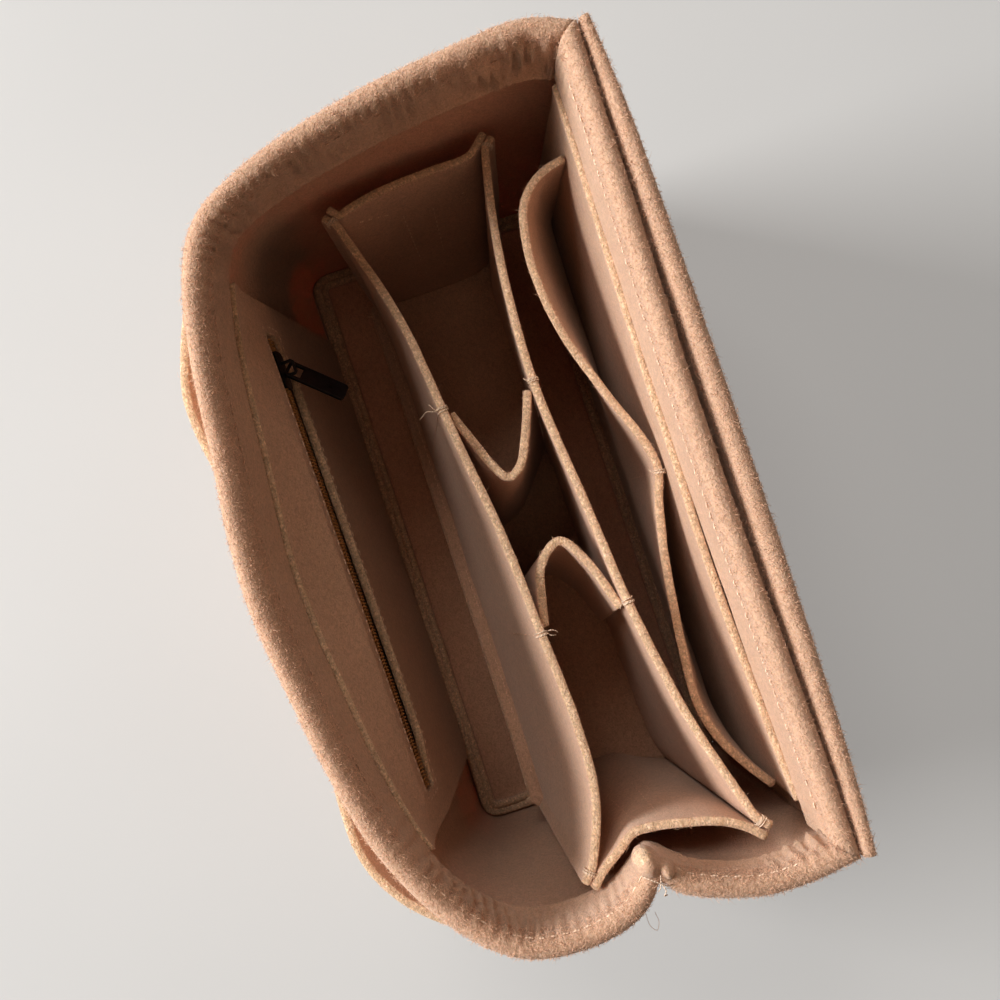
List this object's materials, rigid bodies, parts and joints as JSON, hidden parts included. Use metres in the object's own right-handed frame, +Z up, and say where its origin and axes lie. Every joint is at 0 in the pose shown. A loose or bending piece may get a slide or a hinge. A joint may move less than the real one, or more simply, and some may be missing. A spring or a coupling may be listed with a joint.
{
  "type": "purse organizer insert",
  "caption": "Soft felt tub with hemmed rim, slip pockets and a zip pocket, holding a lift-out felt basket with curved dividers.",
  "frame": {"origin": "middle of the underside of the floor panel", "axes": "+X along the tub to the end without the pleat, +Y to the zip wall, +Z up out of the tub"},
  "size_m": [0.2757, 0.1675, 0.16],
  "materials": {
    "tub_felt": "needled felt",
    "basket_felt": "needled felt",
    "zip_tape": "woven tape",
    "zip_coil": "coil",
    "zip_metal": "black plated"
  },
  "bodies": {
    "tub": {"wrap_panel": "tub_felt", "front_panel": "tub_felt", "floor_panel": "tub_felt", "front_slip_pocket": "tub_felt", "front_inner_pocket": "tub_felt", "front_pocket_pair": "tub_felt", "back_outer_pocket": "tub_felt", "zip_pocket_panel": "tub_felt", "zip_tape_upper": "zip_tape", "zip_tape_lower": "zip_tape", "zip_coil_upper": "zip_coil", "zip_coil_lower": "zip_coil"},
    "slider": {"zip_slider": "zip_metal"},
    "puller": {"zip_puller": "zip_metal"},
    "basket": {"basket_floor": "basket_felt", "basket_back_panel": "basket_felt", "basket_front_panel": "basket_felt", "basket_end_plus": "basket_felt", "basket_end_minus": "basket_felt", "basket_divider_a": "basket_felt", "basket_divider_b": "basket_felt"}
  },
  "joints": [
    {"name": "zip_slide", "type": "slide", "parent": "tub", "child": "slider", "axis": [-0.9997, -0.0227, 0], "range_m": [0, 0.14]},
    {"name": "puller_swing", "type": "hinge", "parent": "slider", "child": "puller", "pos_m": [0.07142, 0.06253, 0.10326], "axis": [-0.6565, 0.435, 0.6162], "range_deg": [-35, 60]},
    {"name": "basket_lift", "type": "slide", "parent": "tub", "child": "basket", "axis": [0, 0, 1], "range_m": [0, 0.17]}
  ]
}
